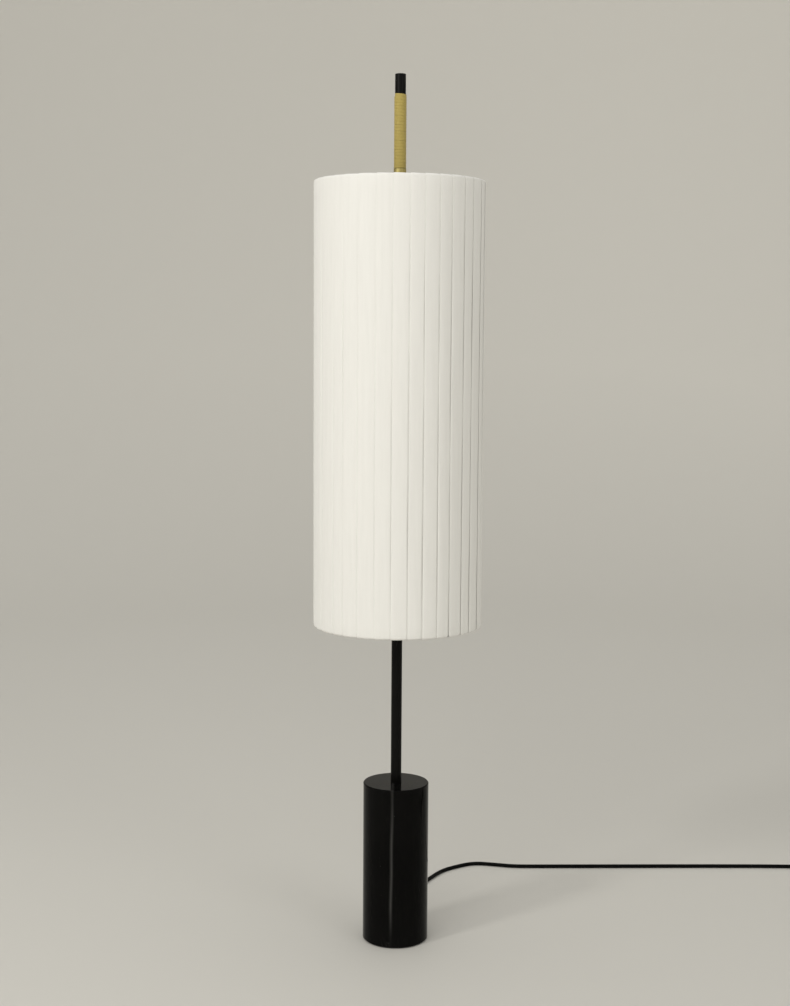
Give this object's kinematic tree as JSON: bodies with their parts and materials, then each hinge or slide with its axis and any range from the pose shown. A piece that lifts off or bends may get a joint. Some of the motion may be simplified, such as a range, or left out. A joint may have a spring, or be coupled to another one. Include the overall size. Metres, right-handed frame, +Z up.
{
  "type": "floor lamp",
  "caption": "Floor lamp with a tall ribbon drum shade on a slim stem, a corded handle above it, a heavy marble foot and a mains lead with a foot switch.",
  "frame": {"origin": "centre of the foot's underside, on the floor", "axes": "+Z up along the stem; +Y towards the lamp's rear, where the lead leaves; +X to the right seen from the front"},
  "size_m": [0.9915, 0.5132, 1.45],
  "materials": {
    "marble": "polished",
    "felt": "matte",
    "steel": "satin",
    "black_rubber": "matte",
    "black_metal": "satin",
    "cord_band": "satin",
    "aged_brass": "satin",
    "white_wire": "satin",
    "ribbon": "matte",
    "arm_metal": "satin",
    "socket_plastic": "satin",
    "bulb_shell": "satin",
    "bulb_opal": "satin",
    "inner_lead": "matte",
    "mains_lead": "satin",
    "lead_tie": "matte",
    "switch_plastic": "satin",
    "button_plastic": "gloss",
    "plug_plastic": "satin",
    "pin_metal": "satin"
  },
  "bodies": {
    "lamp": {"marble_base": "marble", "base_felt_pad": "felt", "tie_rod": "steel", "base_washer": "steel", "base_nut": "steel", "stem_foot_insert": "steel", "stem_top_stud": "steel", "holder_nuts": "steel", "arm_screws": "steel", "switch_spring": "steel", "switch_screws": "steel", "cable_gland": "black_rubber", "switch_relief_lamp_side": "black_rubber", "switch_relief_plug_side": "black_rubber", "stem_tube": "black_metal", "handle_core": "black_metal", "handle_cap": "black_metal", "handle_winding": "cord_band", "handle_ferrule": "aged_brass", "shade_top_ring": "white_wire", "shade_bottom_ring": "white_wire", "top_spider": "white_wire", "bottom_spider": "white_wire", "shade_strut_1": "white_wire", "shade_strut_2": "white_wire", "shade_strut_3": "white_wire", "shade_strut_4": "white_wire", "shade_strut_5": "white_wire", "shade_strut_6": "white_wire", "shade_ribbon": "ribbon", "holder_arm_1": "arm_metal", "holder_arm_2": "arm_metal", "holder_arm_3": "arm_metal", "lampholder_cap_1": "socket_plastic", "lampholder_cap_2": "socket_plastic", "lampholder_cap_3": "socket_plastic", "lampholder_body_1": "socket_plastic", "lampholder_body_2": "socket_plastic", "lampholder_body_3": "socket_plastic", "bulb_cap_1": "bulb_shell", "bulb_cap_2": "bulb_shell", "bulb_cap_3": "bulb_shell", "bulb_globe_1": "bulb_opal", "bulb_globe_2": "bulb_opal", "bulb_globe_3": "bulb_opal", "inner_lead": "inner_lead", "holder_lead_1": "inner_lead", "holder_lead_2": "inner_lead", "holder_lead_3": "inner_lead", "cord_run": "mains_lead", "cord_link": "mains_lead", "cord_coil": "mains_lead", "cord_tail": "mains_lead", "cord_tie": "lead_tie", "switch_base": "switch_plastic", "switch_cover": "switch_plastic", "plug_body": "plug_plastic", "plug_pins": "pin_metal"},
    "button": {"switch_button": "button_plastic"}
  },
  "joints": [
    {"name": "foot_switch_press", "type": "slide", "parent": "lamp", "child": "button", "axis": [0, 0, -1], "range_m": [0, 0.0025], "stiffness_N_per_m": 900, "springref_m": -0.002, "deforming": ["switch_spring"]}
  ]
}
